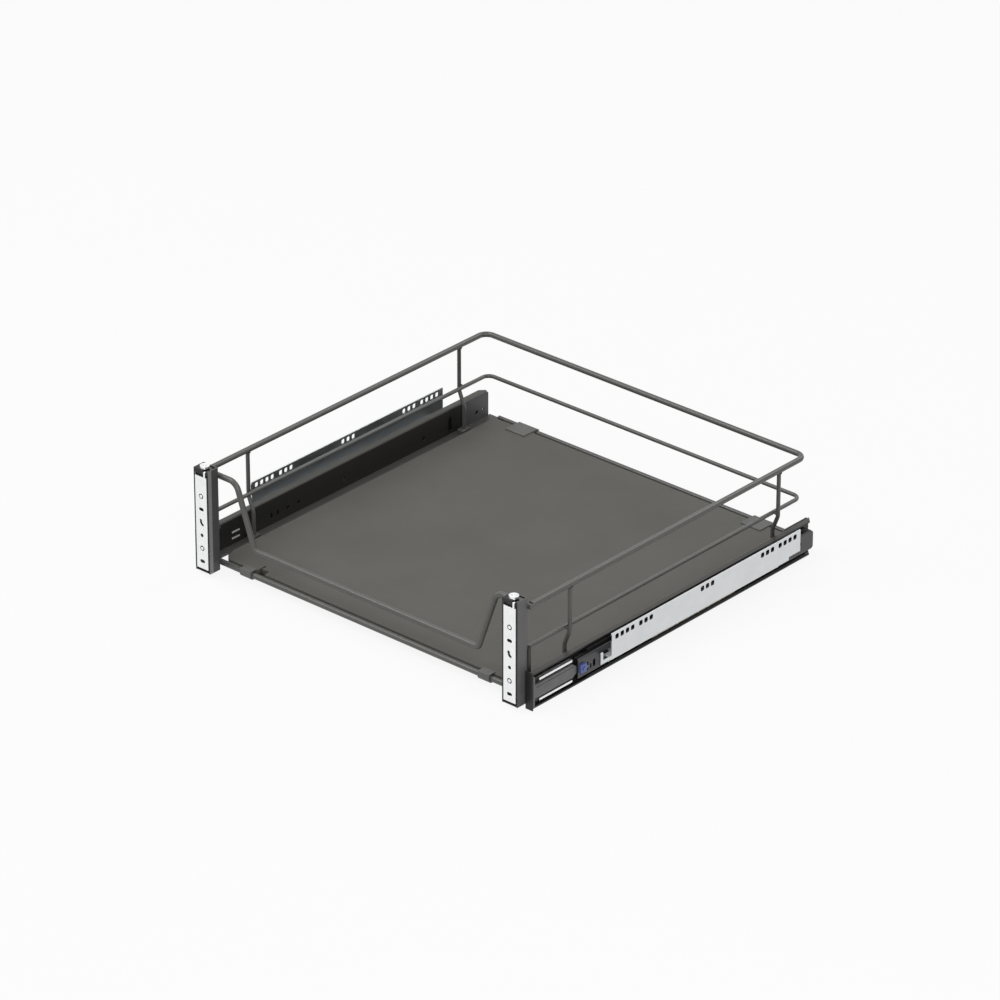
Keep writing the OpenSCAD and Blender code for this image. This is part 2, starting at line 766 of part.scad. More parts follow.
module right_front_plate() {
    x = bracket_middle;
    color(zinc) difference() {
        union() {
            block([x - front_plate_half, 0, front_plate_low],
                [x + front_plate_half, front_sheet, front_plate_high]);
            block([x + tongue_low, 0, front_plate_high - 1],
                [x + tongue_low + tongue_wide, front_sheet, bracket_height - tongue_short]);
            block([x - lug_half, front_sheet - 1, lug_level - lug_thick / 2],
                [x + lug_half, bracket_depth - 4, lug_level + lug_thick / 2]);
        }
        bar_z(x - adjuster_aside, adjuster_line, lug_level - 10, lug_level + 10, adjuster_r + 0.05);
        for (k = [1, 5]) bar_y(x, -1, front_sheet + 0.5, first_hole + k * hole_pitch, ring_hole_r);
        for (k = [0, 4]) level_slot(x, first_hole + k * hole_pitch, screw_slot_wide, screw_slot_tall,
            -1, front_sheet + 0.5);
        bar_y(x, -1, front_sheet + 0.5, first_hole + 2 * hole_pitch, small_hole_r);
        translate([x, 0, first_hole + 3 * hole_pitch])
            for (p = hook_slot_points) bar_y(p[0], -1, front_sheet + 0.5, p[1], hook_slot_r);
    }
}

module right_front_pins() {
    color(zinc) for (k = [1, 5]) {
        bar_y(bracket_middle, -0.2, front_sheet, first_hole + k * hole_pitch, pin_r);
        bar_y(bracket_middle, front_sheet, front_sheet + pin_head_high,
            first_hole + k * hole_pitch, pin_head_r);
    }
}

module right_adjuster() {
    head = insert_top + seat;
    x = bracket_middle - adjuster_aside;
    color(zinc) difference() {
        union() {
            bar_z(x, adjuster_line, lug_level - adjuster_tail, head, adjuster_r);
            bar_z(x, adjuster_line, head, head + screw_head_high, screw_head_r);
        }
        for (a = [45, 135]) translate([x, adjuster_line, head + screw_head_high])
            rotate([0, 0, a]) cube(screw_cross, center = true);
    }
}

// Wire basket

module rail_loop(side, front, back, level, bend, r) {
    translate([0, 0, level])
        bent_wire([[-side, front], [-side, back], [side, back], [side, front]], bend, r);
}

module top_rail() {
    color(wire_grey) rail_loop(basket_side, front_line + front_wire_r, basket_back, top_rail_level,
        top_rail_bend, top_wire_r);
}

module lower_rail() {
    color(wire_grey) rail_loop(lower_side, bracket_depth, basket_back - 1, lower_rail_level,
        lower_rail_bend, thin_r);
}

module front_rail() {
    end = basket_side + top_wire_r + front_rail_proud;
    color(wire_grey) upright(front_line) bent_wire([[-end, top_rail_level], [-dip_corner, top_rail_level],
        [-dip_half, dip_level], [dip_half, dip_level], [dip_corner, top_rail_level], [end, top_rail_level]],
        front_rail_bends, front_wire_r);
}

module front_rod() {
    color(wire_grey) bar_x(-bracket_outer, bracket_outer, front_line, front_rod_level, front_wire_r);
}

module rear_rod() {
    color(wire_grey) bar_x(-rear_rod_half, rear_rod_half, rear_rod_line, rear_rod_level, rear_rod_r);
}

module right_posts() {
    top = top_rail_level - top_wire_r;
    color(wire_grey) for (y = post_lines) upright(y) bent_wire([[basket_side, top],
        [basket_side, post_bend_high], [post_foot_side, post_bend_low], [post_foot_side, flange_top]],
        post_bend, thin_r);
}

module post_feet() {
    color(black) for (y = post_lines, s = [-1, 1]) difference() {
        block([s * post_foot_side - foot_half_wide, y - foot_half_long, flange_top],
            [s * post_foot_side + foot_half_wide, y + foot_half_long, flange_top + foot_height]);
        bar_z(s * post_foot_side, y, flange_top - 1, flange_top + foot_height + 1, thin_r);
    }
}

// Tray board and the clips that hold it

module tray_board() {
    notch = clip_side - front_clip_width / 2 - board_notch_gap;
    color(board_grey) difference() {
        translate([0, 0, board_bottom]) linear_extrude(height = board_thick) polygon([
            [-board_half + board_cut[0], board_front],
            [board_half - board_cut[0], board_front],
            [board_half - board_cut[1], board_front + board_cut[2]],
            [board_half, board_front + board_cut[3]],
            [board_half, board_back - board_cut[4]],
            [board_half - board_cut[4], board_back],
            [-board_half + board_cut[4], board_back],
            [-board_half, board_back - board_cut[4]],
            [-board_half, board_front + board_cut[3]],
            [-board_half + board_cut[1], board_front + board_cut[2]]]);
        translate([-notch, board_front - 1, board_bottom + board_notch_floor]) {
            linear_extrude(height = board_thick) square([board_notch_wide, board_notch_long + 1]);
            linear_extrude(height = board_thick) square(board_slit);
        }
    }
}

module front_clip() {
    front = front_line - front_wire_r - clip_sheet;
    rotate([90, 0, 90]) linear_extrude(height = front_clip_width, center = true) difference() {
        union() {
            translate([front_line, front_rod_level]) circle(r = front_wire_r + clip_sheet);
            translate([front, front_rod_level])
                square([front_wire_r + clip_sheet, board_top + clip_lip - front_rod_level]);
            translate([front, board_top + seat]) square([front_wire_r + front_clip_reach, clip_lip]);
            translate([front_line, board_bottom - 2 * clip_sheet])
                square([front_wire_r + front_clip_hold, 2 * clip_sheet - seat]);
        }
        translate([front_line, front_rod_level]) circle(r = front_wire_r + 0.01);
        translate([front_line, front_rod_level - front_wire_r])
            square([front_wire_r, 2 * front_wire_r + 2]);
        translate([front_line - 1, front_rod_level + front_wire_r])
            square([front_clip_reach, board_top + seat - front_rod_level - front_wire_r]);
        translate([board_front - seat, board_bottom - seat])
            square([front_clip_reach, board_thick + 2 * seat]);
    }
}

module front_clips() {
    color(black) for (s = [-1, 1]) translate([s * clip_side, 0, 0]) front_clip();
}

module rear_clip() {
    low = rear_rod_level - rear_rod_r - clip_sheet;
    rotate([90, 0, 90]) linear_extrude(height = rear_clip_width, center = true) difference() {
        union() {
            translate([rear_rod_line, rear_rod_level]) circle(r = rear_rod_r + clip_sheet);
            translate([board_back, low]) square([rear_rod_line - board_back, 2 * (rear_rod_r + clip_sheet)]);
            translate([board_back, low]) square([clip_sheet, board_top + clip_lip - low]);
            translate([board_back - rear_clip_reach, board_top + seat])
                square([rear_clip_reach + clip_sheet, clip_lip]);
            translate([board_back - rear_clip_hold, low])
                square([rear_clip_hold + clip_sheet, board_bottom - seat - low]);
        }
        translate([rear_rod_line, rear_rod_level]) circle(r = rear_rod_r + 0.01);
        translate([rear_rod_line, rear_rod_level - 0.6 * rear_rod_r])
            square([2 * rear_rod_r + clip_sheet, 1.2 * rear_rod_r]);
        translate([board_back - 2 * rear_clip_reach, board_bottom - seat])
            square([2 * rear_clip_reach + seat, board_thick + 2 * seat]);
    }
}

module rear_clips() {
    color(black) for (s = [-1, 1]) translate([s * clip_side, 0, 0]) rear_clip();
}

// Left side pieces are mirror images of the right ones, but the pieces inside
// the front bracket are the same on both sides.

module left_bracket() {
    translate([-2 * bracket_middle, 0, 0]) children();
}

module left_cabinet_plate() { left_side() right_cabinet_plate(); }
module left_cabinet_rail() { left_side() right_cabinet_rail(); }
module left_plate_rivets() { left_side() right_plate_rivets(); }
module left_inner_cage() { left_side() right_inner_cage(); }
module left_inner_balls() { left_side() right_inner_balls(); }
module left_middle_rail() { left_side() right_middle_rail(); }
module left_middle_buffers() { left_side() right_middle_buffers(); }
module left_outer_cage() { left_side() right_outer_cage(); }
module left_outer_balls() { left_side() right_outer_balls(); }
module left_drawer_rail() { left_side() right_drawer_rail(); }
module left_side_angle() { left_side() right_side_angle(); }
module left_angle_rivets() { left_side() right_angle_rivets(); }
module left_bracket_ear() { left_side() right_bracket_ear(); }
module left_closer_housing() { left_side() right_closer_housing(); }
module left_closer_strips() { left_side() right_closer_strips(); }
module left_catch() { left_side() right_catch(); }
module left_catch_pin() { left_side() right_catch_pin(); }
module left_bracket_sheath() { left_side() right_bracket_sheath(); }
module left_bracket_insert() { left_bracket() right_bracket_insert(); }
module left_front_plate() { left_bracket() right_front_plate(); }
module left_front_pins() { left_bracket() right_front_pins(); }
module left_adjuster() { left_bracket() right_adjuster(); }
module left_posts() { left_side() right_posts(); }

left_cabinet_plate();
right_cabinet_plate();
left_cabinet_rail();
right_cabinet_rail();
left_plate_rivets();
right_plate_rivets();
left_inner_cage();
right_inner_cage();
left_inner_balls();
right_inner_balls();
left_middle_rail();
right_middle_rail();
left_middle_buffers();
right_middle_buffers();
left_outer_cage();
right_outer_cage();
left_outer_balls();
right_outer_balls();
left_drawer_rail();
right_drawer_rail();
left_side_angle();
right_side_angle();
left_angle_rivets();
right_angle_rivets();
left_bracket_ear();
right_bracket_ear();
left_closer_housing();
right_closer_housing();
left_closer_strips();
right_closer_strips();
left_catch();
right_catch();
left_catch_pin();
right_catch_pin();
left_bracket_sheath();
right_bracket_sheath();
left_bracket_insert();
right_bracket_insert();
left_front_plate();
right_front_plate();
left_front_pins();
right_front_pins();
left_adjuster();
right_adjuster();
tray_board();
top_rail();
lower_rail();
front_rail();
front_rod();
rear_rod();
left_posts();
right_posts();
post_feet();
front_clips();
rear_clips();
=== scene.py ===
import bpy
import bmesh
from math import sin, cos, pi, radians
from random import Random
from mathutils import Vector, Matrix


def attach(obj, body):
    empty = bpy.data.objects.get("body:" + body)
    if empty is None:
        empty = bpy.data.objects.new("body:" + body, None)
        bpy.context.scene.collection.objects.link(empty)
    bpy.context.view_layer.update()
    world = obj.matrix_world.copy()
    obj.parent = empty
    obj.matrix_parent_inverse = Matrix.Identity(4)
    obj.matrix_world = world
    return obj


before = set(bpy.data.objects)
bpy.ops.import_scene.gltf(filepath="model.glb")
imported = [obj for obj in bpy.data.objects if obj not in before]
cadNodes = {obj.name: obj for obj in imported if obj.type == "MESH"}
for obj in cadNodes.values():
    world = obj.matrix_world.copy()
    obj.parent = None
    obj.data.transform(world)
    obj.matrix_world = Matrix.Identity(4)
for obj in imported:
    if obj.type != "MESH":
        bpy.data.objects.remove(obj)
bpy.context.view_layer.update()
scene = bpy.context.scene
print("frame loaded:", len(cadNodes), "pieces from the CAD")


# camera, turned to the right of the front and looking down on the basket
photoView = {
    "turn": 41.51,
    "rise": 27.50,
    "distance": 7.060,
    "lens": 217.1,
    "lookAt": (-0.00055, 0.25523, 0.07772),
}


def placeCamera():
    data = bpy.data.cameras.new("photoCamera")
    data.lens = photoView["lens"]
    data.sensor_width = 36
    data.clip_end = 60
    camera = bpy.data.objects.new("photoCamera", data)
    turn = radians(photoView["turn"])
    rise = radians(photoView["rise"])
    away = Vector((sin(turn) * cos(rise), -cos(turn) * cos(rise), sin(rise)))
    camera.location = Vector(photoView["lookAt"]) + away * photoView["distance"]
    camera.rotation_euler = away.to_track_quat("Z", "Y").to_euler()
    scene.collection.objects.link(camera)
    scene.camera = camera


placeCamera()
print("camera placed")


# node helpers shared by all the finishes; texture scales are per metre
def newFinish(name):
    material = bpy.data.materials.new(name)
    material.use_nodes = True
    tree = material.node_tree
    return material, tree, tree.nodes["Principled BSDF"]


def addNode(tree, kind, inputs=None, **settings):
    made = tree.nodes.new(kind)
    for key, value in settings.items():
        setattr(made, key, value)
    for key, value in (inputs or {}).items():
        made.inputs[key].default_value = value
    return made


def objectSpace(tree, stretch=(1, 1, 1)):
    coords = addNode(tree, "ShaderNodeTexCoord")
    mapping = addNode(tree, "ShaderNodeMapping", {"Scale": stretch})
    tree.links.new(coords.outputs["Object"], mapping.inputs["Vector"])
    return mapping.outputs["Vector"]


def noise(tree, space, scale, detail=3.0, rough=0.55):
    made = addNode(tree, "ShaderNodeTexNoise", {"Scale": scale, "Detail": detail, "Roughness": rough})
    tree.links.new(space, made.inputs["Vector"])
    return made.outputs["Fac"]


def remap(tree, value, low, high, outLow, outHigh):
    made = addNode(tree, "ShaderNodeMapRange",
                   {"From Min": low, "From Max": high, "To Min": outLow, "To Max": outHigh})
    tree.links.new(value, made.inputs["Value"])
    return made.outputs["Result"]


def mixColour(tree, factor, first, second):
    made = addNode(tree, "ShaderNodeMix", data_type="RGBA")
    for socket, value in ((made.inputs[0], factor), (made.inputs[6], first), (made.inputs[7], second)):
        if isinstance(value, (int, float)):
            socket.default_value = value
        elif isinstance(value, tuple):
            socket.default_value = (*value, 1)
        else:
            tree.links.new(value, socket)
    return made.outputs[2]


def addValues(tree, first, second, kind="ADD"):
    made = addNode(tree, "ShaderNodeMath", operation=kind)
    for socket, value in ((made.inputs[0], first), (made.inputs[1], second)):
        if isinstance(value, (int, float)):
            socket.default_value = value
        else:
            tree.links.new(value, socket)
    return made.outputs[0]


def timesValues(tree, first, second):
    return addValues(tree, first, second, "MULTIPLY")


def edgeMask(tree, radius):
    # 1 along the edges of a piece, 0 on its flat faces; also gives the softened normal
    bevel = addNode(tree, "ShaderNodeBevel", {"Radius": radius}, samples=4)
    plain = addNode(tree, "ShaderNodeNewGeometry")
    match = addNode(tree, "ShaderNodeVectorMath", operation="DOT_PRODUCT")
    tree.links.new(bevel.outputs["Normal"], match.inputs[0])
    tree.links.new(plain.outputs["Normal"], match.inputs[1])
    return remap(tree, match.outputs["Value"], 0.995, 0.85, 0, 1), bevel.outputs["Normal"]


def onePart(tree, kind, output, axis):
    # one of the three values of a vector, 0 for X, 1 for Y, 2 for Z
    source = addNode(tree, kind)
    parts = addNode(tree, "ShaderNodeSeparateXYZ")
    tree.links.new(source.outputs[output], parts.inputs[0])
    return parts.outputs[axis]


def normalPart(tree, axis):
    return onePart(tree, "ShaderNodeNewGeometry", "Normal", axis)


def placePart(tree, axis):
    return onePart(tree, "ShaderNodeTexCoord", "Object", axis)


def facing(tree, axis, low, high):
    # 0 to 1 by how far a surface looks along one axis
    return remap(tree, normalPart(tree, axis), low, high, 0, 1)


def alongAxis(tree, axis, low, high):
    # 0 to 1 by the distance from the middle plane across one axis, in metres
    return remap(tree, addValues(tree, placePart(tree, axis), 0, "ABSOLUTE"), low, high, 0, 1)


def lookingIn(tree):
    # 1 on faces that look towards the middle of the drawer, 0 on those that look out
    return remap(tree, timesValues(tree, normalPart(tree, 0), placePart(tree, 0)), -0.15, -0.05, 1, 0)


def edgeways(tree):
    # 1 on faces that look along the drawer or up and down, 0 on those that look sideways
    return remap(tree, addValues(tree, normalPart(tree, 0), 0, "ABSOLUTE"), 0.3, 0.6, 1, 0)


def bumpOn(tree, shader, height, depth, strength, normal=None):
    made = addNode(tree, "ShaderNodeBump", {"Strength": strength, "Distance": depth})
    tree.links.new(height, made.inputs["Height"])
    if normal is not None:
        tree.links.new(normal, made.inputs["Normal"])
    tree.links.new(made.outputs["Normal"], shader.inputs["Normal"])
    return made.outputs["Normal"]


# painted steel: a fine orange peel, patchy gloss, painted light on faces that look up in broad patches,
# edges lighter from thin paint and painted highlight
def paintFinish(name, look):
    material, tree, shader = newFinish(name)
    space = objectSpace(tree, look.get("stretch", (1, 1, 1)))
    patches = noise(tree, space, look["patchScale"], 2)
    grain = noise(tree, space, look["grainScale"], 4, 0.6)
    tone = mixColour(tree, remap(tree, patches, 0.35, 0.65, 0, 1), look["dark"], look["light"])
    tone = mixColour(tree, remap(tree, grain, 0.3, 0.7, 0, look["speckle"]), tone, look["speckleTone"])
    # painted light on faces that look up, broken into broad patches; on the slide the same mix paints
    # shade there
    if "paintedTopTone" in look:
        paintedTopMask = timesValues(tree, facing(tree, 2, 0.1, 0.9), remap(tree, patches, 0.3, 0.7, 0.75, 1))
        if "paintedTopAbove" in look:
            high = alongAxis(tree, 2, look["paintedTopAbove"], look["paintedTopAbove"] + 0.006)
            paintedTopMask = timesValues(tree, paintedTopMask, high)
        tone = mixColour(tree, paintedTopMask, tone, look["paintedTopTone"])
    # edges lighter: partly worn paint, partly painted highlight
    edges, softNormal = edgeMask(tree, look["edgeRadius"])
    wornAndLitMask = timesValues(tree, edges, remap(tree, grain, 0.4, 0.65, 0.2, 1))
    wornAndLitMask = timesValues(tree, wornAndLitMask, look["edgeWearAndLightShare"])
    tone = mixColour(tree, wornAndLitMask, tone, look["edgeWearAndLightTone"])
    # painted shade: faces that look down are painted near black
    if "underShadeTone" in look:
        tone = mixColour(tree, facing(tree, 2, -0.35, -0.85), tone, look["underShadeTone"])
    # painted shade on faces that look in, with painted light on a strip along their front
    if "innerShadeTone" in look:
        inner = lookingIn(tree)
        tone = mixColour(tree, inner, tone, look["innerShadeTone"])
        strip = alongAxis(tree, 1, look["stripUpTo"] + 0.0006, look["stripUpTo"])
        tone = mixColour(tree, timesValues(tree, inner, strip), tone, look["stripLightTone"])
    if "crestTone" in look:
        crest = alongAxis(tree, 0, look["crestUpTo"] + 0.0002, look["crestUpTo"])
        tone = mixColour(tree, crest, tone, look["crestTone"])
    if "frontTone" in look:
        tone = mixColour(tree, facing(tree, 1, -0.5, -0.8), tone, look["frontTone"])
    tree.links.new(tone, shader.inputs["Base Color"])
    tree.links.new(remap(tree, patches, 0.3, 0.7, look["rough"][0], look["rough"][1]),
                   shader.inputs["Roughness"])
    shader.inputs["Specular IOR Level"].default_value = look["gloss"]
    bumpOn(tree, shader, grain, look["bumpDepth"], look["bump"], softNormal)
    return material


# bare or plated steel: rolled streaks along the piece and a faint bloom
def metalFinish(name, look):
    material, tree, shader = newFinish(name)
    space = objectSpace(tree)
    streakSpace = objectSpace(tree, look["streak"])
    bloom = noise(tree, space, look["bloomScale"], 3)
    streaks = noise(tree, streakSpace, look["streakScale"], 4, 0.6)
    tone = mixColour(tree, remap(tree, bloom, 0.35, 0.65, 0, 1), look["dark"], look["light"])
    streaked = remap(tree, streaks, 0.35, 0.7, 0, look["streakAmount"])
    tone = mixColour(tree, streaked, tone, look["streakTone"])
    edges, softNormal = edgeMask(tree, look["edgeRadius"])
    # painted shade on faces that look in
    if "insideShadeTone" in look:
        tone = mixColour(tree, lookingIn(tree), tone, look["insideShadeTone"])
    # a dark patch on the leg, deep in and near its front
    if "darkPatchTone" in look:
        deep = alongAxis(tree, 0, look["darkPatchDeep"] + 0.0005, look["darkPatchDeep"])
        ahead = alongAxis(tree, 1, look["darkPatchUpTo"] + 0.001, look["darkPatchUpTo"])
        tone = mixColour(tree, timesValues(tree, deep, ahead), tone, look["darkPatchTone"])
    # painted shade on the part of a piece that lies behind a given depth
    if "behindShadeTone" in look:
        tone = mixColour(tree, alongAxis(tree, 1, *look["behindSpan"]), tone, look["behindShadeTone"])
    # edges lighter: partly wear, partly painted highlight
    tone = mixColour(tree, timesValues(tree, edges, look["edgeWearAndLightShare"]), tone, look["edgeWearAndLightTone"])
    # painted shade on the walls of the windows
    if "windowShadeTone" in look:
        low, high = look["windowSpan"]
        above = alongAxis(tree, 2, low, low + 0.0002)
        row = timesValues(tree, above, alongAxis(tree, 2, high, high - 0.0002))
        tone = mixColour(tree, timesValues(tree, row, edgeways(tree)), tone, look["windowShadeTone"])
    tree.links.new(tone, shader.inputs["Base Color"])
    shader.inputs["Metallic"].default_value = 1
    gloss = addValues(tree, remap(tree, bloom, 0.3, 0.7, look["rough"][0], look["rough"][1]),
                      remap(tree, streaks, 0.3, 0.7, -0.04, 0.04))
    tree.links.new(gloss, shader.inputs["Roughness"])
    bumpOn(tree, shader, streaks, look["bumpDepth"], look["bump"], softNormal)
    return material


frameCoat = {
    "dark": (0.055, 0.055, 0.056), "light": (0.066, 0.066, 0.067),
    "speckleTone": (0.085, 0.085, 0.086), "speckle": 0.35, "paintedTopTone": (0.078, 0.075, 0.068),
    "patchScale": 24, "grainScale": 2600,
    "edgeRadius": 0.0005, "edgeWearAndLightTone": (0.2, 0.2, 0.2), "edgeWearAndLightShare": 0.75,
    "rough": (0.42, 0.54), "gloss": 0.35, "bump": 0.35, "bumpDepth": 0.00008,
}
wireCoat = {
    "dark": (0.055, 0.054, 0.051), "light": (0.066, 0.065, 0.062),
    "speckleTone": (0.09, 0.088, 0.084), "speckle": 0.35,
    "paintedTopTone": (0.072, 0.071, 0.067), "underShadeTone": (0.012, 0.012, 0.011),
    "patchScale": 30, "grainScale": 2600,
    "edgeRadius": 0.0003, "edgeWearAndLightTone": (0.17, 0.168, 0.162), "edgeWearAndLightShare": 0.3,
    "rough": (0.26, 0.36), "gloss": 0.5, "bump": 0.3, "bumpDepth": 0.00006,
}
railCoat = {
    "dark": (0.012, 0.012, 0.012), "light": (0.018, 0.017, 0.016),
    "speckleTone": (0.03, 0.029, 0.027), "speckle": 0.3,
    "paintedTopTone": (0.05, 0.049, 0.043), "paintedTopAbove": 0.012,
    "patchScale": 18, "grainScale": 1800, "stretch": (1, 0.08, 1),
    "edgeRadius": 0.0003, "edgeWearAndLightTone": (0.17, 0.165, 0.15), "edgeWearAndLightShare": 0.7,
    "rough": (0.3, 0.42), "gloss": 0.3, "bump": 0.25, "bumpDepth": 0.00004,
}
# the drawer rail is lighter on the crests of its two ribs
ribbedCoat = dict(railCoat, crestTone=(0.42, 0.42, 0.4), crestUpTo=0.2519)
# the bracket sheath: black front edge, painted shade on its inner side with a painted lit strip along
# its front
sheathCoat = dict(frameCoat, dark=(0.088, 0.088, 0.087), light=(0.1, 0.1, 0.099),
                  frontTone=(0.008, 0.008, 0.008), innerShadeTone=(0.052, 0.052, 0.053),
                  stripLightTone=(0.2, 0.2, 0.2), stripUpTo=0.0058)
# the middle rail is painted blacker and duller, painted shade so that the holes of the drawer rail read
# dark
middleCoat = dict(railCoat, dark=(0.005, 0.005, 0.005), light=(0.008, 0.008, 0.008), gloss=0.15,
                  speckleTone=(0.014, 0.014, 0.013), paintedTopTone=(0.02, 0.02, 0.019), rough=(0.4, 0.52))
rivetBlack = dict(railCoat, stretch=(1, 1, 1), rough=(0.3, 0.5))
# the slide: painted shade on its faces that look up, near black on faces that look forward
slideGrey = dict(frameCoat, dark=(0.05, 0.05, 0.052), light=(0.064, 0.064, 0.066), rough=(0.32, 0.44),
                 stretch=(1, 0.1, 1), frontTone=(0.008, 0.008, 0.008), paintedTopTone=(0.012, 0.012, 0.013),
                 edgeWearAndLightTone=(0.3, 0.3, 0.3))
galvanised = {
    "dark": (0.62, 0.635, 0.645), "light": (0.665, 0.68, 0.685), "bloomScale": 55,
    "streak": (1, 0.06, 1), "streakScale": 900, "streakAmount": 0.12, "streakTone": (0.54, 0.56, 0.57),
    "edgeRadius": 0.0003, "edgeWearAndLightTone": (0.93, 0.93, 0.92), "edgeWearAndLightShare": 0.85,
    "rough": (0.34, 0.46), "bump": 0.2, "bumpDepth": 0.00005,
}
brightZinc = {
    "dark": (0.86, 0.865, 0.87), "light": (0.92, 0.92, 0.925), "bloomScale": 120,
    "streak": (1, 1, 0.1), "streakScale": 1200, "streakAmount": 0.3, "streakTone": (0.74, 0.75, 0.77),
    "edgeRadius": 0.0003, "edgeWearAndLightTone": (0.95, 0.95, 0.95), "edgeWearAndLightShare": 0.5,
    "rough": (0.28, 0.42), "bump": 0.18, "bumpDepth": 0.00004,
}
# the closing strips: painted shade on their edges, which narrows their bright line
stripZinc = dict(brightZinc, edgeRadius=0.0007, edgeWearAndLightTone=(0.1, 0.1, 0.1), edgeWearAndLightShare=1)
# the front pins: painted shade behind the face of the front plate
pinZinc = dict(brightZinc, behindShadeTone=(0.02, 0.02, 0.02), behindSpan=(0.0012, 0.0016))
# the wall plate: painted shade on its inner side, a dark patch on its leg behind the hook, painted
# shade on the walls of its windows
plateZinc = dict(galvanised, insideShadeTone=(0.25, 0.265, 0.27), darkPatchTone=(0.02, 0.02, 0.022),
                 darkPatchDeep=0.2695, darkPatchUpTo=0.1380, windowShadeTone=(0.03, 0.03, 0.032),
                 windowSpan=(0.0447, 0.0517))
# the rivets: the first one is in the same dark patch
plainSteel = dict(galvanised, dark=(0.5, 0.51, 0.52), light=(0.6, 0.61, 0.62), streak=(1, 1, 1),
                  edgeWearAndLightShare=0.3, darkPatchTone=(0.02, 0.02, 0.022), darkPatchDeep=0.2695, darkPatchUpTo=0.1445)
ballSteel = dict(galvanised, dark=(0.68, 0.69, 0.7), light=(0.74, 0.75, 0.76), rough=(0.06, 0.12),
                 streak=(1, 1, 1), bump=0.05)
cageBronze = dict(galvanised, dark=(0.2, 0.175, 0.13), light=(0.27, 0.24, 0.18),
                  streakTone=(0.16, 0.14, 0.1), edgeWearAndLightTone=(0.4, 0.36, 0.28), rough=(0.3, 0.42))


# moulded plastic: a fine spark-eroded grain, edges lighter from wear and painted highlight
def mouldedFinish(name, look):
    material, tree, shader = newFinish(name)
    space = objectSpace(tree)
    grain = noise(tree, space, look["grainScale"], 5, 0.65)
    flow = noise(tree, space, look["flowScale"], 2)
    tone = mixColour(tree, remap(tree, flow, 0.35, 0.65, 0, 1), look["dark"], look["light"])
    edges, softNormal = edgeMask(tree, look["edgeRadius"])
    # edges lighter: partly wear, partly painted highlight
    tone = mixColour(tree, timesValues(tree, edges, look["edgeWearAndLightShare"]), tone, look["edgeWearAndLightTone"])
    # painted shade on the part that lies deep inside, towards the middle
    if "deepShadeTone" in look:
        shown = alongAxis(tree, 0, look["deepUpTo"], look["deepUpTo"] + 0.0003)
        tone = mixColour(tree, shown, look["deepShadeTone"], tone)
    tree.links.new(tone, shader.inputs["Base Color"])
    tree.links.new(remap(tree, grain, 0.3, 0.7, look["rough"][0], look["rough"][1]),
                   shader.inputs["Roughness"])
    shader.inputs["Specular IOR Level"].default_value = look["gloss"]
    bumpOn(tree, shader, grain, look["bumpDepth"], look["bump"], softNormal)
    return material


blackPlastic = {
    "dark": (0.006, 0.006, 0.006), "light": (0.009, 0.009, 0.0095), "grainScale": 3500, "flowScale": 40,
    "edgeRadius": 0.0004, "edgeWearAndLightTone": (0.03, 0.03, 0.03), "edgeWearAndLightShare": 0.4,
    "rough": (0.38, 0.52), "gloss": 0.35, "bump": 0.3, "bumpDepth": 0.00004,
}
clipPlastic = dict(blackPlastic, dark=(0.085, 0.085, 0.082), light=(0.105, 0.105, 0.1),
                   edgeWearAndLightTone=(0.24, 0.24, 0.23))
# the closer housing: painted shade on its inner part, lighter edges
closerPlastic = dict(blackPlastic, dark=(0.105, 0.104, 0.105), light=(0.13, 0.129, 0.13), edgeWearAndLightShare=0.7,
                     edgeWearAndLightTone=(0.3, 0.3, 0.31), deepShadeTone=(0.014, 0.014, 0.014), deepUpTo=0.2598)
catchPlastic = dict(blackPlastic, dark=(0.075, 0.11, 0.3), light=(0.09, 0.13, 0.35), edgeWearAndLightShare=0.6,
                    edgeWearAndLightTone=(0.2, 0.25, 0.5), gloss=0.5, rough=(0.26, 0.36))


# board: matt warm grey skin with a fine pressed pore and faint cloudy patches
boardSkin = {
    "dark": (0.087, 0.085, 0.077), "light": (0.098, 0.096, 0.087),
    "fleck": (0.122, 0.119, 0.108), "pore": (0.058, 0.056, 0.051),
    "edgeRadius": 0.0006, "edgeWearAndLightTone": (0.2, 0.196, 0.18), "edgeWearAndLightShare": 0.5,
    "rough": (0.56, 0.7), "gloss": 0.25, "bump": 0.25, "bumpDepth": 0.0001,
    "cloudScale": 9, "fineScale": 1500, "fleckShare": 0.35,
    "poreScale": 900, "poreShare": 0.35, "poreDeep": 0.6,
    "notchShadeTone": (0.012, 0.012, 0.011), "notchSpan": (0.0115, 0.0105),
}


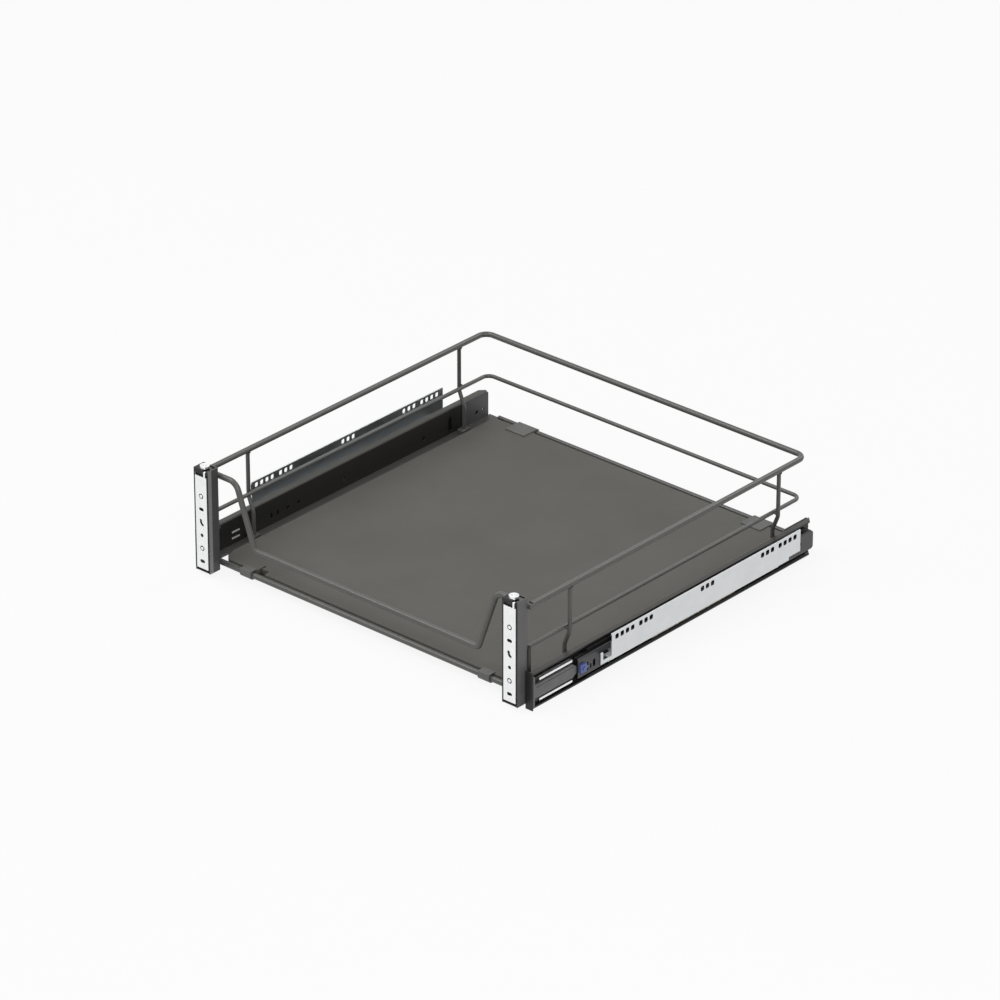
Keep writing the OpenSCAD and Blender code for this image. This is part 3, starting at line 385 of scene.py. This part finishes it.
def boardFinish():
    material, tree, shader = newFinish("boardSkin")
    space = objectSpace(tree)
    clouds = noise(tree, space, boardSkin["cloudScale"], 3)
    fine = noise(tree, space, boardSkin["fineScale"], 4, 0.7)
    pores = addNode(tree, "ShaderNodeTexVoronoi", {"Scale": boardSkin["poreScale"], "Randomness": 1})
    tree.links.new(space, pores.inputs["Vector"])
    poreMask = remap(tree, pores.outputs["Distance"], 0.05, 0.25, 1, 0)
    tone = mixColour(tree, remap(tree, clouds, 0.35, 0.65, 0, 1), boardSkin["dark"], boardSkin["light"])
    flecks = remap(tree, fine, 0.5, 0.75, 0, boardSkin["fleckShare"])
    tone = mixColour(tree, flecks, tone, boardSkin["fleck"])
    tone = mixColour(tree, timesValues(tree, poreMask, boardSkin["poreShare"]), tone, boardSkin["pore"])
    edges, softNormal = edgeMask(tree, boardSkin["edgeRadius"])
    # edges lighter: partly wear, partly painted highlight
    tone = mixColour(tree, timesValues(tree, edges, boardSkin["edgeWearAndLightShare"]), tone, boardSkin["edgeWearAndLightTone"])
    # the milled floor of the notch at the left clip, well below the top face, is painted dark as shade
    notch = alongAxis(tree, 2, *boardSkin["notchSpan"])
    floorOfNotch = timesValues(tree, facing(tree, 2, 0.5, 0.8), notch)
    tone = mixColour(tree, floorOfNotch, tone, boardSkin["notchShadeTone"])
    tree.links.new(tone, shader.inputs["Base Color"])
    tree.links.new(remap(tree, fine, 0.3, 0.7, boardSkin["rough"][0], boardSkin["rough"][1]),
                   shader.inputs["Roughness"])
    shader.inputs["Specular IOR Level"].default_value = boardSkin["gloss"]
    height = addValues(tree, fine, timesValues(tree, poreMask, -boardSkin["poreDeep"]))
    bumpOn(tree, shader, height, boardSkin["bumpDepth"], boardSkin["bump"], softNormal)
    return material


finishes = {
    "frameCoat": paintFinish("frameCoat", frameCoat),
    "sheathCoat": paintFinish("sheathCoat", sheathCoat),
    "wireCoat": paintFinish("wireCoat", wireCoat),
    "railCoat": paintFinish("railCoat", railCoat),
    "ribbedCoat": paintFinish("ribbedCoat", ribbedCoat),
    "middleCoat": paintFinish("middleCoat", middleCoat),
    "rivetBlack": paintFinish("rivetBlack", rivetBlack),
    "slideGrey": paintFinish("slideGrey", slideGrey),
    "galvanised": metalFinish("galvanised", galvanised),
    "brightZinc": metalFinish("brightZinc", brightZinc),
    "stripZinc": metalFinish("stripZinc", stripZinc),
    "pinZinc": metalFinish("pinZinc", pinZinc),
    "plateZinc": metalFinish("plateZinc", plateZinc),
    "plainSteel": metalFinish("plainSteel", plainSteel),
    "ballSteel": metalFinish("ballSteel", ballSteel),
    "cageBronze": metalFinish("cageBronze", cageBronze),
    "blackPlastic": mouldedFinish("blackPlastic", blackPlastic),
    "clipPlastic": mouldedFinish("clipPlastic", clipPlastic),
    "closerPlastic": mouldedFinish("closerPlastic", closerPlastic),
    "catchPlastic": mouldedFinish("catchPlastic", catchPlastic),
    "boardSkin": boardFinish(),
}
print("finishes made:", len(finishes))


# which finish each piece gets; names without a side are used left and right
pieceFinish = {
    "cabinet_plate": "plateZinc", "cabinet_rail": "slideGrey", "plate_rivets": "plainSteel",
    "inner_cage": "cageBronze", "inner_balls": "ballSteel", "middle_rail": "middleCoat",
    "middle_buffers": "blackPlastic", "outer_cage": "cageBronze", "outer_balls": "ballSteel",
    "drawer_rail": "ribbedCoat", "side_angle": "frameCoat", "angle_rivets": "rivetBlack",
    "bracket_ear": "railCoat", "closer_housing": "closerPlastic", "closer_strips": "stripZinc",
    "catch": "catchPlastic", "catch_pin": "catchPlastic", "bracket_sheath": "sheathCoat",
    "bracket_insert": "blackPlastic", "front_plate": "brightZinc", "front_pins": "pinZinc",
    "adjuster": "brightZinc", "tray_board": "boardSkin", "top_rail": "wireCoat",
    "lower_rail": "wireCoat", "front_rail": "wireCoat", "front_rod": "wireCoat",
    "rear_rod": "wireCoat", "posts": "wireCoat", "post_feet": "clipPlastic",
    "front_clips": "clipPlastic", "rear_clips": "clipPlastic",
}


def dressPieces():
    for name, piece in cadNodes.items():
        plain = name.removeprefix("left_").removeprefix("right_")
        piece.data.materials.clear()
        piece.data.materials.append(finishes[pieceFinish[plain]])


dressPieces()
print("CAD pieces dressed")


# welds where the wires meet each other and the brackets, painted over with the wires
welds = {
    "side": 0.2504, "lowerSide": 0.2454, "postLines": (0.0905, 0.4625),
    "topLevel": 0.1222, "lowerLevel": 0.067, "rodLevel": 0.0088,
    "bracketBack": 0.0173, "bracketMiddle": 0.2395, "frontLine": 0.0209,
    "rearLine": 0.516, "flangeTop": 0.0067, "flangeLine": 0.2295,
    "topWire": 0.0035, "thinWire": 0.0025, "frontWire": 0.0036,
    "collarGrow": 0.0012, "collarLong": 0.0022, "unevenness": 0.14, "steps": 20, "seed": 11,
    "postLump": (0.0012, 0.0015, 0.0021), "postStep": (0.0018, 0.0012),
    "bracketLump": (0.0055, 0.0012, 0.0013), "bracketStep": 0.0021,
    "rodLump": (0.003, 0.0013, 0.0012), "rodStep": 0.0018, "lumpRise": 0.0006,
    "fillet": [(-0.35, 1.0), (0.0, 1.0), (0.3, 0.55), (0.65, 0.2), (1.0, -0.12)],
}


def addCollar(mesh, chance, place, axis, wire):
    # a fillet round a wire end: wide where it meets the other wire, running out along its own wire
    along = Vector(axis).normalized()
    across = along.orthogonal().normalized()
    other = along.cross(across)
    rings = []
    for step, grow in welds["fillet"]:
        ring = []
        for k in range(welds["steps"]):
            angle = 2 * pi * k / welds["steps"]
            wobble = 1 + welds["unevenness"] * (chance.random() - 0.5) * (1 if grow > 0 else 0)
            reach = wire + welds["collarGrow"] * grow * wobble
            spot = Vector(place) + along * step * welds["collarLong"]
            ring.append(mesh.verts.new(spot + (across * cos(angle) + other * sin(angle)) * reach))
        rings.append(ring)
    for low, high in zip(rings, rings[1:]):
        for k in range(len(low)):
            mesh.faces.new((low[k], low[k - 1], high[k - 1], high[k])).smooth = True
    mesh.faces.new(rings[0])
    mesh.faces.new(list(reversed(rings[-1])))


def addLump(mesh, chance, place, size):
    # a short run of weld laid in the corner between two pieces that touch
    made = bmesh.ops.create_icosphere(mesh, subdivisions=2, radius=1)
    for vert in made["verts"]:
        shake = 1 + welds["unevenness"] * (chance.random() - 0.5)
        vert.co = Vector(place) + Vector([part * reach * shake for part, reach in zip(vert.co, size)])
        for face in vert.link_faces:
            face.smooth = True


def buildWelds():
    chance = Random(welds["seed"])
    mesh = bmesh.new()
    w = welds
    for side in (-1, 1):
        for y in w["postLines"]:
            head = (side * w["side"], y, w["topLevel"] - w["topWire"])
            addCollar(mesh, chance, head, (0, 0, -1), w["thinWire"])
            middle = side * (w["side"] + w["lowerSide"]) / 2
            stepBack, stepUp = w["postStep"]
            for turn in (-1, 1):
                spot = (middle, y + turn * stepBack, w["lowerLevel"] + turn * stepUp)
                addLump(mesh, chance, spot, w["postLump"])
        topEnd = (side * w["side"], w["frontLine"] + w["frontWire"], w["topLevel"])
        addCollar(mesh, chance, topEnd, (0, 1, 0), w["topWire"])
        lowerEnd = (side * w["lowerSide"], w["bracketBack"], w["lowerLevel"])
        addCollar(mesh, chance, lowerEnd, (0, 1, 0), w["thinWire"])
        behind = w["bracketBack"] + w["lumpRise"]
        for level in (w["topLevel"], w["rodLevel"]):
            for turn in (-1, 1):
                spot = (side * w["bracketMiddle"], behind, level + turn * w["bracketStep"])
                addLump(mesh, chance, spot, w["bracketLump"])
        for turn in (-1, 1):
            back, up = w["rearLine"] + turn * w["rodStep"], w["flangeTop"] + w["lumpRise"]
            addLump(mesh, chance, (side * w["flangeLine"], back, up), w["rodLump"])
    data = bpy.data.meshes.new("wireWelds")
    mesh.to_mesh(data)
    mesh.free()
    piece = bpy.data.objects.new("wireWelds", data)
    scene.collection.objects.link(piece)
    data.materials.append(finishes["wireCoat"])
    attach(piece, "drawer")


buildWelds()
print("welds laid")


# floor, world and lamps of a plain light studio
studio = {
    "floorLevel": -0.0052,
    "floorSize": 8,
    "floorTones": ((0.66, 0.66, 0.66), (0.7, 0.7, 0.7)),
    "floorGlow": 0.89,      # share of the floor that shows as plain white
    "skyForObject": 0.45,   # world strength that lights the object
    "lampsAimAt": (0, 0.25, 0.05),
    "lamps": [              # name, place, width, power
        ("keyLamp", (-1.6, -1.2, 3.4), 2.4, 80),
        ("fillLamp", (2.6, -2.2, 2.2), 2.0, 40),
        ("sideLamp", (1.5, -0.9, 0.7), 0.8, 4),
        ("backLamp", (0.6, 3.0, 2.6), 2.0, 30),
    ],
}


def cameraShare(tree):
    # 1 for what the camera sees directly, in a mirror or through glass
    path = addNode(tree, "ShaderNodeLightPath")
    seen = addValues(tree, path.outputs["Is Camera Ray"], path.outputs["Is Glossy Ray"], "MAXIMUM")
    return addValues(tree, seen, path.outputs["Is Transmission Ray"], "MAXIMUM")


def buildWorld():
    world = bpy.data.worlds.new("studioWorld")
    scene.world = world
    world.use_nodes = True
    tree = world.node_tree
    sky = tree.nodes["Background"]
    sky.inputs["Color"].default_value = (1, 1, 1, 1)
    strength = remap(tree, cameraShare(tree), 0, 1, studio["skyForObject"], 1)
    tree.links.new(strength, sky.inputs["Strength"])


def buildFloor():
    half = studio["floorSize"] / 2
    mesh = bpy.data.meshes.new("studioFloor")
    corners = [(-half, -half, 0), (half, -half, 0), (half, half, 0), (-half, half, 0)]
    mesh.from_pydata(corners, [], [(0, 1, 2, 3)])
    floor = bpy.data.objects.new("studioFloor", mesh)
    floor.location.z = studio["floorLevel"]
    scene.collection.objects.link(floor)
    material, tree, shader = newFinish("studioFloor")
    mottle = noise(tree, objectSpace(tree), 6, 2)
    tone = mixColour(tree, mottle, *studio["floorTones"])
    tree.links.new(tone, shader.inputs["Base Color"])
    shader.inputs["Roughness"].default_value = 0.9
    shader.inputs["Specular IOR Level"].default_value = 0
    glow = addNode(tree, "ShaderNodeEmission", {"Color": (1, 1, 1, 1), "Strength": 1})
    blend = addNode(tree, "ShaderNodeMixShader")
    tree.links.new(remap(tree, cameraShare(tree), 0, 1, 0, studio["floorGlow"]), blend.inputs[0])
    tree.links.new(shader.outputs[0], blend.inputs[1])
    tree.links.new(glow.outputs[0], blend.inputs[2])
    tree.links.new(blend.outputs[0], tree.nodes["Material Output"].inputs["Surface"])
    mesh.materials.append(material)


def hangLamps():
    for name, place, width, power in studio["lamps"]:
        data = bpy.data.lights.new(name, "AREA")
        data.shape = "SQUARE"
        data.size = width
        data.energy = power
        lamp = bpy.data.objects.new(name, data)
        lamp.location = place
        aim = Vector(place) - Vector(studio["lampsAimAt"])
        lamp.rotation_euler = aim.to_track_quat("Z", "Y").to_euler()
        scene.collection.objects.link(lamp)


scene.view_settings.view_transform = "Standard"
buildWorld()
buildFloor()
hangLamps()
print("studio built")
